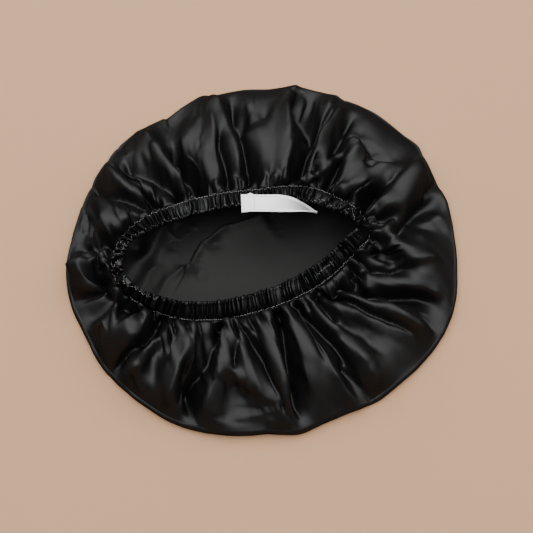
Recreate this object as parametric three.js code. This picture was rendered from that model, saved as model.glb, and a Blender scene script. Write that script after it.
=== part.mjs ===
// Satin sleep bonnet, lying crown down with its elastic mouth facing up.
// Millimetres, +Z up. The origin is on the surface it lies on, under the middle of its outline.
// The wearer's side of the cloth is the hollow: the head goes in down through the mouth.
import * as THREE from "three";
import { ParametricGeometry } from "three/addons/geometries/ParametricGeometry.js";

// ---- driving dimensions --------------------------------------------------------------------
const CLOTH_WALL = 1.2; // wall of the crown
const REST_RADIUS_SHARE = 0.9; // part of the outline that lies flat on the surface
const RIM_HEIGHT = 13; // where the cloth turns over at the outline
const CREST_HEIGHT = 45; // top of the puffed ring
const SEAM_HEIGHT = 34; // where the crown is sewn to the band
const CREST_SHARE = 0.26; // place of the crest on the way from the seam to the outline
const PUFF_FALL = 1.7; // how late the top falls towards the outline
const SEWING_GAP = 0.3; // between the crown's edge and the band

// The mouth's seam line is an ellipse that leans in plan.
const MOUTH = { x: -20, y: -11.5, long: 112, short: 59, tilt: THREE.MathUtils.degToRad(12.3) };

const BAND = { width: 17, thickness: 3.6, rise: THREE.MathUtils.degToRad(25), ruffle: 0.5 };
const BAND_COLUMNS = 144; // two columns a ruffle
const BAND_SIDES = 8;

const LABEL = { length: 68, width: 18.4, thickness: 1.2, segments: 16 };
const LABEL_CORNER = { x: -18, y: 20.6, z: 46 }; // the sewn end's corner at the mouth's side
const LABEL_TWIST_FROM = 0.3; // the free end twists from here on
const LABEL_TWIST = THREE.MathUtils.degToRad(-64);
const LABEL_LIFT = 8; // and its edge at the mouth's side rises this much

// The outline seen from above: how far it reaches from the origin at each bearing (0 is +X).
const OUTLINE = [
  { bearing: 5, reach: 176 },
  { bearing: 16, reach: 178 },
  { bearing: 33, reach: 179 },
  { bearing: 52, reach: 179 },
  { bearing: 65, reach: 175 },
  { bearing: 81, reach: 171 },
  { bearing: 88, reach: 165 },
  { bearing: 111, reach: 166 },
  { bearing: 123, reach: 160 },
  { bearing: 134, reach: 165 },
  { bearing: 146, reach: 168 },
  { bearing: 170, reach: 167 },
  { bearing: 186, reach: 177 },
  { bearing: 208, reach: 174 },
  { bearing: 220, reach: 176 },
  { bearing: 251, reach: 174 },
  { bearing: 272, reach: 167 },
  { bearing: 281, reach: 171 },
  { bearing: 289, reach: 167 },
  { bearing: 315, reach: 172 },
  { bearing: 337, reach: 179 },
  { bearing: 353, reach: 177 },
];

// The main folds' valleys, anticlockwise. Each leaves the mouth at one turn and runs to the
// outline at another, this deep, and has died out at its reach (0 the seam, 1 the outline).
const FOLDS = [
  { mouth: -8, rim: 19, depth: 10, reach: 0.98 },
  { mouth: 25, rim: 33, depth: 8, reach: 0.98 },
  { mouth: 41, rim: 45, depth: 6, reach: 0.6 },
  { mouth: 55, rim: 59, depth: 7, reach: 0.8 },
  { mouth: 69, rim: 77, depth: 10, reach: 0.95 },
  { mouth: 88, rim: 101, depth: 8, reach: 0.92 },
  { mouth: 100, rim: 111, depth: 6, reach: 0.7 },
  { mouth: 113, rim: 124, depth: 10, reach: 0.75 },
  { mouth: 124, rim: 146, depth: 7, reach: 0.85 },
  { mouth: 137, rim: 158, depth: 8, reach: 0.92 },
  { mouth: 150, rim: 168, depth: 8, reach: 0.9 },
  { mouth: 168, rim: 178, depth: 9, reach: 0.95 },
  { mouth: 188, rim: 190, depth: 8, reach: 0.7 },
  { mouth: 204, rim: 199, depth: 7, reach: 0.95 },
  { mouth: 222, rim: 209, depth: 9, reach: 0.9 },
  { mouth: 240, rim: 222, depth: 9, reach: 0.98 },
  { mouth: 253, rim: 234, depth: 7, reach: 0.8 },
  { mouth: 268, rim: 246, depth: 10, reach: 0.95 },
  { mouth: 279, rim: 263, depth: 6, reach: 0.7 },
  { mouth: 291, rim: 282, depth: 10, reach: 0.98 },
  { mouth: 304, rim: 302, depth: 8, reach: 0.9 },
  { mouth: 315, rim: 327, depth: 10, reach: 0.88 },
  { mouth: 325, rim: 343, depth: 10, reach: 0.92 },
  { mouth: 338, rim: 356, depth: 8, reach: 0.8 },
];
const FOLD_RISE = 0.16; // a fold has its full depth this far from the seam
const COLUMNS_PER_FOLD = 4; // valley, flank, ridge, flank

// Stations along the cloth from the crown's middle to the seam: on the floor (share of the
// resting radius), round the turned edge (degrees from the floor), and on top (share from the
// outline to the seam).
const FLOOR_STATIONS = [0, 0.3, 0.6, 0.85, 1];
const EDGE_STATIONS = [35, 65, 90];
const TOP_STATIONS = [0.04, 0.1, 0.18, 0.28, 0.38, 0.48, 0.58, 0.68, 0.78, 0.87, 0.94, 1];

// ---- tables read as smooth closed curves ---------------------------------------------------
// The value of one column at a turn, eased between the rows on both sides of it.
function around(rows, at, column, turn) {
  const count = rows.length;
  const first = rows[0][at];
  const wrapped = first + ((((turn - first) % 360) + 360) % 360);
  let i = count - 1;
  while (rows[i][at] > wrapped) i--;
  const here = rows[i];
  const next = rows[(i + 1) % count];
  const span = (((next[at] - here[at]) % 360) + 360) % 360;
  const share = (wrapped - here[at]) / span;
  return THREE.MathUtils.lerp(here[column], next[column], share);
}

// One column of the fold table at a phase: whole numbers are valleys, halves are ridges.
function atPhase(column, phase, isTurn) {
  const i = Math.floor(phase) % FOLDS.length;
  const next = (i + 1) % FOLDS.length;
  const lap = isTurn && next < i ? 360 : 0;
  return THREE.MathUtils.lerp(FOLDS[i][column], FOLDS[next][column] + lap, phase % 1);
}

// ---- plan curves ---------------------------------------------------------------------------
function outlinePoint(turn) {
  const angle = THREE.MathUtils.degToRad(turn);
  return new THREE.Vector2(Math.cos(angle), Math.sin(angle)).multiplyScalar(
    around(OUTLINE, "bearing", "reach", turn),
  );
}

function mouthPoint(turn) {
  const angle = THREE.MathUtils.degToRad(turn) - MOUTH.tilt;
  return new THREE.Vector2(MOUTH.long * Math.cos(angle), MOUTH.short * Math.sin(angle))
    .rotateAround(new THREE.Vector2(), MOUTH.tilt)
    .add(new THREE.Vector2(MOUTH.x, MOUTH.y));
}

// The level direction that leaves the mouth's line at right angles, away from the hollow.
function mouthOutward(turn) {
  const along = mouthPoint(turn + 0.5).sub(mouthPoint(turn - 0.5));
  return new THREE.Vector2(along.y, -along.x).normalize();
}

// ---- crown ---------------------------------------------------------------------------------
const smooth = (share) => THREE.MathUtils.smoothstep(share, 0, 1);

// How deep the folds are at a phase and a share of the way out: a cosine across each fold, that
// grows from the seam and dies out at the fold's reach.
function foldDepth(phase, out) {
  const grow = smooth(out / FOLD_RISE);
  const die = 1 - smooth(out / atPhase("reach", phase)) ** 2;
  const wave = 0.5 + 0.5 * Math.cos(2 * Math.PI * phase);
  return atPhase("depth", phase) * grow * die * wave;
}

// Height of the puffed top without folds: a sine up to the crest, then a power curve down.
function topHeight(out) {
  if (out < CREST_SHARE) {
    const rise = Math.sin((Math.PI / 2) * (out / CREST_SHARE));
    return THREE.MathUtils.lerp(SEAM_HEIGHT, CREST_HEIGHT, rise);
  }
  const away = (out - CREST_SHARE) / (1 - CREST_SHARE);
  return THREE.MathUtils.lerp(RIM_HEIGHT, CREST_HEIGHT, Math.sqrt(1 - away ** PUFF_FALL));
}

// A point of the crown's outer face. way runs 0 to 1 over the floor, to 2 round the turned edge
// and to 3 over the top to the seam.
function crownFace(phase, way) {
  const rim = outlinePoint(atPhase("rim", phase, true));
  if (way <= 1) {
    const flat = rim.multiplyScalar(REST_RADIUS_SHARE * way);
    return new THREE.Vector3(flat.x, flat.y, 0);
  }
  if (way <= 2) {
    const roll = (Math.PI / 2) * (way - 1);
    const reach = THREE.MathUtils.lerp(REST_RADIUS_SHARE, 1, Math.sin(roll));
    const turned = rim.multiplyScalar(reach);
    return new THREE.Vector3(turned.x, turned.y, RIM_HEIGHT * (1 - Math.cos(roll)));
  }
  const out = 3 - way;
  const seam = mouthPoint(atPhase("mouth", phase, true));
  const plan = seam.lerp(rim, out);
  return new THREE.Vector3(plan.x, plan.y, topHeight(out) - foldDepth(phase, out));
}

// The outward direction there, from two short steps over the face.
function crownNormal(phase, way) {
  const step = 1e-3;
  if (way <= 1) return new THREE.Vector3(0, 0, -1);
  const low = Math.max(1, way - step);
  const high = Math.min(3, way + step);
  const lap = FOLDS.length;
  const along = crownFace((phase + step) % lap, way).sub(crownFace((phase - step + lap) % lap, way));
  const up = crownFace(phase, high).sub(crownFace(phase, low));
  return along.cross(up).normalize();
}

function makeCrown() {
  const stations = [
    ...FLOOR_STATIONS,
    ...EDGE_STATIONS.map((degrees) => 1 + degrees / 90),
    ...TOP_STATIONS.map((share) => 2 + share),
  ];
  const last = stations.length - 1;
  const columns = FOLDS.length * COLUMNS_PER_FOLD;
  // Down the list the outer face runs from the middle to the seam; the inner wall runs back.
  const geometry = new ParametricGeometry(
    (u, v, point) => {
      const row = Math.round(v * (2 * last + 1));
      const phase = (Math.round(u * columns) % columns) / COLUMNS_PER_FOLD;
      const way = stations[row <= last ? row : 2 * last + 1 - row];
      point.copy(crownFace(phase, way));
      if (row > last) point.addScaledVector(crownNormal(phase, way), -CLOTH_WALL);
    },
    columns,
    2 * last + 1,
  );
  return namedMesh("crown", geometry, 0x161617, 0.42);
}

// ---- band ----------------------------------------------------------------------------------
// The gathered casing: a flat tube that leans up over the mouth. Every second column is thicker.
function makeBand() {
  const half = BAND.width / 2;
  const geometry = new ParametricGeometry(
    (u, v, point) => {
      const column = Math.round(u * BAND_COLUMNS) % BAND_COLUMNS;
      const turn = (360 * column) / BAND_COLUMNS;
      const side = (2 * Math.PI * (Math.round(v * BAND_SIDES) % BAND_SIDES)) / BAND_SIDES;
      const puff = BAND.thickness / 2 + (column % 2 ? BAND.ruffle : 0);
      const across = half * Math.sign(Math.cos(side)) * Math.abs(Math.cos(side)) ** 0.6;
      const through = puff * Math.sin(side);
      const inward = (half + SEWING_GAP - across) * Math.cos(BAND.rise);
      const level = inward - through * Math.sin(BAND.rise);
      const plan = mouthPoint(turn).addScaledVector(mouthOutward(turn), -level);
      const lift = (half - across) * Math.sin(BAND.rise) + through * Math.cos(BAND.rise);
      point.set(plan.x, plan.y, SEAM_HEIGHT + lift);
    },
    BAND_COLUMNS,
    BAND_SIDES,
  );
  return namedMesh("band", geometry, 0x131314, 0.48);
}

// ---- label ---------------------------------------------------------------------------------
// A blank ribbon sewn to the band at one end. Its free end twists about its edge at the mouth's
// side, so that the other edge dips into the mouth.
function makeLabel() {
  const { length, width, thickness, segments } = LABEL;
  const geometry = new THREE.BoxGeometry(length, width, thickness, segments, 1, 1);
  geometry.translate(length / 2, width / 2, 0);
  const place = geometry.getAttribute("position");
  for (let i = 0; i < place.count; i++) {
    const share = place.getX(i) / length;
    const eased = smooth((share - LABEL_TWIST_FROM) / (1 - LABEL_TWIST_FROM)) ** 1.5;
    const twist = LABEL_TWIST * eased;
    const lift = LABEL_LIFT * share;
    const y = place.getY(i);
    const z = place.getZ(i);
    place.setY(i, y * Math.cos(twist) - z * Math.sin(twist) - lift / 2);
    place.setZ(i, y * Math.sin(twist) + z * Math.cos(twist) + lift);
  }
  const mesh = namedMesh("label", geometry, 0xe9e9ea, 0.35);
  mesh.position.set(LABEL_CORNER.x, LABEL_CORNER.y, LABEL_CORNER.z);
  return mesh;
}

function namedMesh(name, geometry, color, roughness) {
  const material = new THREE.MeshStandardMaterial({ color, roughness, metalness: 0 });
  const mesh = new THREE.Mesh(geometry, material);
  mesh.name = name;
  return mesh;
}

const bonnet = new THREE.Group();
bonnet.name = "sleep_bonnet";
bonnet.add(makeCrown(), makeBand(), makeLabel());
export default bonnet;
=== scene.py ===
"""Satin sleep bonnet lying crown down, with a gathered elastic mouth and a blank ribbon label.

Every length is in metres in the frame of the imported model: +Z up, origin on the surface that the
bonnet lies on. A place on the crown is given by its turn, in degrees anticlockwise from +X, and by
how far out it is: 0 at the mouth's seam, 1 at the outline.
"""

import logging
import math
from dataclasses import dataclass, field
from enum import Enum
from typing import Any, NamedTuple

import bpy
import numpy as np
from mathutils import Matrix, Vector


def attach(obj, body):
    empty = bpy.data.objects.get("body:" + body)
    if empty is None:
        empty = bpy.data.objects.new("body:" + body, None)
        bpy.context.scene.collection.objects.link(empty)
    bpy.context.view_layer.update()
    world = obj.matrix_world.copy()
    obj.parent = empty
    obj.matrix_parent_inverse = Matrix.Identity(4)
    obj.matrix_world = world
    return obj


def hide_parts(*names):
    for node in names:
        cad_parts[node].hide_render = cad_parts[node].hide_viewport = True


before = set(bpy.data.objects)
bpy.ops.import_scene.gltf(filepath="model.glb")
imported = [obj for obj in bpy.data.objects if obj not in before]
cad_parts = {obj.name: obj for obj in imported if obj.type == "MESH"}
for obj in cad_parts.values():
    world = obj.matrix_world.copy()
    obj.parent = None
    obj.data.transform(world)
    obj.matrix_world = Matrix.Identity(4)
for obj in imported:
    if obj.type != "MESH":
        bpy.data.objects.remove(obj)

Array = np.ndarray
Color = tuple[float, float, float]
LOG = logging.getLogger("sleep_bonnet")
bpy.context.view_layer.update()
MM = 0.001
SEAM_HEIGHT = 0.034  # of the mouth's seam above the surface
RING_SAMPLES = 3600  # samples of a closed curve read from a table
FINE = 4001  # points of a line whose length is measured


# ---- small numpy tools -----------------------------------------------------------------------
def smooth(share: Array) -> Array:
    """Smoothstep: 0 below 0, 1 above 1 and 3s^2 - 2s^3 between.

    Args:
        share: values of s.

    Returns:
        The eased values.
    """
    s = np.clip(share, 0.0, 1.0)
    return s * s * (3.0 - 2.0 * s)


def ring_curve(rows: tuple[tuple[float, float], ...], blur: float) -> Array:
    """Values round a closed curve: straight lines between the rows, then a Gaussian blur.

    Args:
        rows: (turn in degrees, value) pairs.
        blur: standard deviation of the blur, in degrees.

    Returns:
        RING_SAMPLES values, evenly spaced from turn 0.
    """
    turns = np.array([row[0] for row in rows])
    values = np.array([row[1] for row in rows])
    at = np.arange(RING_SAMPLES) * 360.0 / RING_SAMPLES
    line = np.interp(at, turns, values, period=360.0)
    waves = np.fft.rfftfreq(RING_SAMPLES, 1.0 / RING_SAMPLES)
    soften = np.exp(-0.5 * (np.radians(blur) * waves) ** 2)
    return np.fft.irfft(np.fft.rfft(line) * soften, RING_SAMPLES)


def read_ring(ring: Array, turn: Array) -> Array:
    """The ring's value at each turn, linear between its samples.

    Args:
        ring: what ring_curve returned.
        turn: degrees, any lap.

    Returns:
        An array of the shape of turn.
    """
    at = np.mod(turn, 360.0) * RING_SAMPLES / 360.0
    low = np.floor(at).astype(int)
    share = at - low
    return ring[low % RING_SAMPLES] * (1.0 - share) + ring[(low + 1) % RING_SAMPLES] * share


def uneven_steps(count: int, spread: float, seed: int) -> Array:
    """Where count pleats of uneven width start and end, as turns from 0 to 360.

    Args:
        count: number of pleats round the mouth.
        spread: how far a width strays from the mean, as a share of it.
        seed: seed of the widths.

    Returns:
        count + 1 rising turns.
    """
    widths = 1.0 + spread * np.random.default_rng(seed).uniform(-1.0, 1.0, count)
    return np.concatenate([[0.0], np.cumsum(widths)]) * 360.0 / widths.sum()


def pleat_place(steps: Array, turn: Array) -> tuple[Array, Array]:
    """Which pleat each turn is in, and where across it.

    Args:
        steps: what uneven_steps returned.
        turn: degrees.

    Returns:
        The pleats' numbers, and the share across each, 0 to 1.
    """
    at = np.mod(turn, 360.0)
    number = np.clip(np.searchsorted(steps, at, side="right") - 1, 0, len(steps) - 2)
    across = (at - steps[number]) / (steps[number + 1] - steps[number])
    return number, across


def ripples(x: Array, y: Array, wave: float, seed: int, count: int = 14) -> Array:
    """Soft uneven ripples: the mean of sines with random headings and phases.

    Args:
        x: first coordinate, in metres.
        y: second coordinate, in metres.
        wave: typical wavelength, in metres.
        seed: seed of the headings.
        count: number of sines.

    Returns:
        Values of about -1 to 1.
    """
    rng = np.random.default_rng(seed)
    total = np.zeros(np.broadcast(x, y).shape)
    headings = rng.uniform(0, math.pi, count)
    phases = rng.uniform(0, 2 * math.pi, count)
    stretches = rng.uniform(0.7, 1.5, count)
    for heading, phase, stretch in zip(headings, phases, stretches):
        k = 2 * math.pi / (wave * stretch)
        total += np.sin(k * (x * math.cos(heading) + y * math.sin(heading)) + phase)
    return total / math.sqrt(count / 2.0) / 1.5


def ring_faces(rings: int, columns: int, start: int = 0) -> Array:
    """Quads between rings of equally many points, closed round the turn.

    Args:
        rings: number of rings.
        columns: points in each.
        start: index of the first ring's first point.

    Returns:
        (rings - 1) * columns quads, wound so that with rings going inwards they face up.
    """
    ring = np.arange(rings - 1)[:, None] * columns + start
    here = np.arange(columns)[None, :]
    after = (here + 1) % columns
    corners = [ring + here, ring + after, ring + columns + after, ring + columns + here]
    return np.stack(corners, -1).reshape(-1, 4)


def make_mesh(
    name: str, points: Array, faces: list[Array], uv: Array | None = None
) -> bpy.types.Object:
    """A smooth-shaded object from points and faces of three or four corners.

    Args:
        name: the object's name.
        points: (n, 3) in metres.
        faces: arrays of faces, each with its own number of corners.
        uv: (n, 2) values for each point, or None.

    Returns:
        The new object, linked to the scene, at the origin.
    """
    mesh = bpy.data.meshes.new(name)
    corners = np.concatenate([f.ravel() for f in faces]).astype(np.int32)
    sizes = np.concatenate([np.full(len(f), f.shape[1]) for f in faces])
    starts = np.concatenate([[0], np.cumsum(sizes)[:-1]]).astype(np.int32)
    mesh.vertices.add(len(points))
    mesh.vertices.foreach_set("co", points.astype(np.float32).ravel())
    mesh.loops.add(len(corners))
    mesh.loops.foreach_set("vertex_index", corners)
    mesh.polygons.add(len(sizes))
    mesh.polygons.foreach_set("loop_start", starts)
    mesh.polygons.foreach_set("use_smooth", np.ones(len(sizes), bool))
    mesh.update(calc_edges=True)
    mesh.validate()
    if uv is not None:
        layer = mesh.uv_layers.new(name="cloth")
        layer.data.foreach_set("uv", uv[corners].astype(np.float32).ravel())
    made = bpy.data.objects.new(name, mesh)
    bpy.context.scene.collection.objects.link(made)
    return made


def unit(vectors: Array) -> Array:
    """Each vector divided by its length."""
    return vectors / np.maximum(np.linalg.norm(vectors, axis=-1, keepdims=True), 1e-12)


def gone_along(line: Array) -> Array:
    """The length gone at each point of a line, 0 at its first point."""
    return np.concatenate([[0.0], np.cumsum(np.linalg.norm(np.diff(line, axis=0), axis=1))])


def bump(value: Array, middle: float, width: float) -> Array:
    """A Gaussian hump: exp(-((value - middle) / width)^2)."""
    return np.exp(-(((value - middle) / width) ** 2))


# ---- the plan --------------------------------------------------------------------------------
OUTLINE_ROWS = (  # bearing in degrees, reach from the origin in mm
    (5, 176), (16, 178), (23, 177), (32, 180), (36, 183), (41, 179), (52, 179), (58, 178), (65, 177),
    (75, 175), (81, 175), (88, 169), (96, 169), (104, 169), (111, 170), (123, 165), (134, 170),
    (146, 172), (157, 171), (170, 171), (179, 174), (186, 177), (196, 177), (208, 174), (220, 176),
    (226, 175), (237, 174), (243, 175), (251, 174), (263, 170), (272, 167), (281, 171), (289, 167),
    (296, 167), (302, 169), (306, 171), (315, 172), (328, 177), (337, 179), (346, 179), (353, 177),
)  # fmt: skip
MOUTH_ROWS = (  # turn in degrees, how much further out than the ellipse the seam runs, as a share
    (7, 0.04), (20, 0.02), (45, 0.0), (56, 0.02), (72, 0.01), (83, -0.05), (95, -0.06), (107, -0.03),
    (119, 0.0), (129, 0.02), (139, 0.05), (150, 0.05), (164, 0.02), (180, -0.01), (193, -0.03),
    (214, -0.04), (231, -0.03), (242, 0.0), (250, 0.03), (268, 0.04), (285, 0.01), (295, 0.0),
    (305, -0.02), (324, -0.04), (338, -0.05), (350, -0.03), (359, 0.04),
)  # fmt: skip
SHOULDER_ROWS = (  # turn in degrees, how late the top falls away to the outline (a power)
    (0, 2.2), (10, 1.9), (19, 1.6), (25, 2.1), (45, 2.3), (60, 2.0), (75, 2.0), (90, 2.6), (105, 2.6),
    (120, 1.9), (134, 2.2), (152, 2.4), (168, 1.9), (187, 2.4), (196, 2.3), (212, 2.4), (225, 2.5),
    (240, 2.1), (252, 2.4), (266, 2.1), (281, 2.4), (298, 2.4), (315, 1.9), (330, 2.3), (345, 2.1),
)  # fmt: skip
LOOP_ROWS = (  # turn in degrees, how far out the seam's gathers reach, 0 to 1
    (0, 0.10), (30, 0.08), (60, 0.06), (75, 0.05), (90, 0.04), (100, 0.06), (115, 0.10), (130, 0.16),
    (150, 0.18), (165, 0.12), (190, 0.12), (215, 0.13), (230, 0.28), (250, 0.32), (270, 0.22),
    (290, 0.32), (305, 0.24), (320, 0.22), (340, 0.16),
)  # fmt: skip
LIP_ROWS = (  # turn in degrees, how level the top gets before the outline, 0 to 1
    (0, 0.1), (30, 0.0), (60, 0.0), (90, 0.1), (120, 0.2), (150, 0.0), (180, 0.0), (210, 0.1),
    (235, 0.1), (250, 0.1), (262, 0.2), (274, 0.2), (285, 0.1), (305, 0.2), (318, 0.3), (330, 0.0),
    (345, 0.0),
)  # fmt: skip
LIVELY_ROWS = (  # turn in degrees, how freely the cloth settles there, 0 to 1
    (0, 0.75), (15, 0.6), (35, 0.5), (60, 0.5), (80, 0.45), (100, 0.5), (120, 0.55), (150, 0.6),
    (175, 0.6), (190, 0.75), (210, 0.85), (230, 0.9), (255, 0.8), (268, 0.5), (280, 0.75),
    (310, 0.85), (340, 0.9), (350, 0.85),
)  # fmt: skip
CALM_ROWS = (  # smooth panels: turn in degrees, out, reach in turn, reach in out, how smooth, 0 to 1
    (88, 0.40, 9, 0.30, 1.0), (43, 0.72, 11, 0.13, 0.9), (220, 0.68, 7, 0.26, 0.8),
    (268, 0.66, 9, 0.30, 0.8), (355, 0.60, 9, 0.28, 0.8), (7, 0.74, 8, 0.22, 0.8),
    (314, 0.86, 13, 0.14, 0.9), (120, 0.84, 9, 0.14, 0.8), (152, 0.50, 17, 0.50, 0.6),
    (185, 0.30, 5, 0.20, 0.5), (22, 0.45, 5, 0.40, 0.6), (238, 0.86, 8, 0.12, 0.7),
    (202, 0.80, 6, 0.16, 0.6), (12, 0.14, 15, 0.18, 1.0), (178, 0.10, 14, 0.16, 0.9),
    (50, 0.80, 12, 0.14, 0.9), (266, 0.86, 12, 0.15, 1.0), (292, 0.88, 9, 0.13, 0.9),
)  # fmt: skip


@dataclass
class Plan:
    """Where the mouth's seam and the outline run, seen from above."""

    centre: tuple[float, float] = (-0.0199, -0.0114)  # of the mouth
    long: float = 0.1118  # the seam's half axes
    short: float = 0.0592
    tilt: float = 12.3  # degrees anticlockwise from +X
    reach: Array = field(default_factory=lambda: ring_curve(OUTLINE_ROWS, 0.8) * MM)
    pull: Array = field(default_factory=lambda: ring_curve(MOUTH_ROWS, 2.5))

    def rim(self, turn: Array) -> Array:
        """The outline's plan point at each bearing: its reach along the bearing."""
        angle = np.radians(turn)
        return np.stack([np.cos(angle), np.sin(angle)], -1) * read_ring(self.reach, turn)[..., None]

    def mouth(self, turn: Array) -> Array:
        """The seam's plan point: an ellipse leaning by tilt, pulled in and out a little.

        Args:
            turn: degrees; the ellipse's own parameter is turn less its tilt.

        Returns:
            Plan points, one more axis of 2.
        """
        angle = np.radians(np.asarray(turn) - self.tilt)
        grow = 1.0 + read_ring(self.pull, turn)
        x, y = self.long * grow * np.cos(angle), self.short * grow * np.sin(angle)
        c, s = math.cos(math.radians(self.tilt)), math.sin(math.radians(self.tilt))
        return np.stack([self.centre[0] + x * c - y * s, self.centre[1] + x * s + y * c], -1)

    def mouth_outward(self, turn: Array) -> Array:
        """The level unit direction at right angles to the seam, away from the hollow."""
        along = self.mouth(turn + 0.6) - self.mouth(turn - 0.6)
        return unit(np.stack([along[..., 1], -along[..., 0]], -1))

    def across(self, turn: Array) -> Array:
        """The distance from the seam to the outline."""
        return np.linalg.norm(self.rim(turn) - self.mouth(turn), axis=-1)

    def place(self, turn: Array, out: Array) -> Array:
        """The plan point that share of the way from the seam to the outline."""
        near, far = self.mouth(turn), self.rim(turn)
        return near + (far - near) * np.asarray(out)[..., None]

    def turn_at_length(self, count: int, start: float = 0.0, end: float = 360.0) -> Array:
        """Turns that divide the seam between two turns into equal lengths.

        Args:
            count: number of divisions.
            start: first turn.
            end: last turn.

        Returns:
            count turns, the last division's end left out.
        """
        fine = np.linspace(start, end, FINE)
        gone = gone_along(self.mouth(fine))
        return np.interp(np.arange(count) / count * gone[-1], gone, fine)


# ---- folds of the crown ----------------------------------------------------------------------
class Relief(Enum):
    """How a fold crosses the cloth: a rounded ridge, a sharp crease, or a broad soft swell."""

    RIDGE = 0.7
    CREASE = 0.22
    SWELL = 1.6


FOLD_SPREAD = 1.3  # how far each fold spreads, in its own widths
OPEN_ENDS = (0.05, 0.96)  # a fold's end between these eases out; others run on over the edge
EASE = 0.2  # share of a fold's length over which an end eases


class Fold(NamedTuple):
    """One fold, along a curve through three places on the crown."""

    kind: Relief
    from_turn: float
    from_out: float
    by_turn: float
    by_out: float
    to_turn: float
    to_out: float
    lift: float  # mm, negative for a valley
    width: float  # mm
    skew: float = 0.0  # above 0 the side at the higher turns is the gentler one


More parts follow.
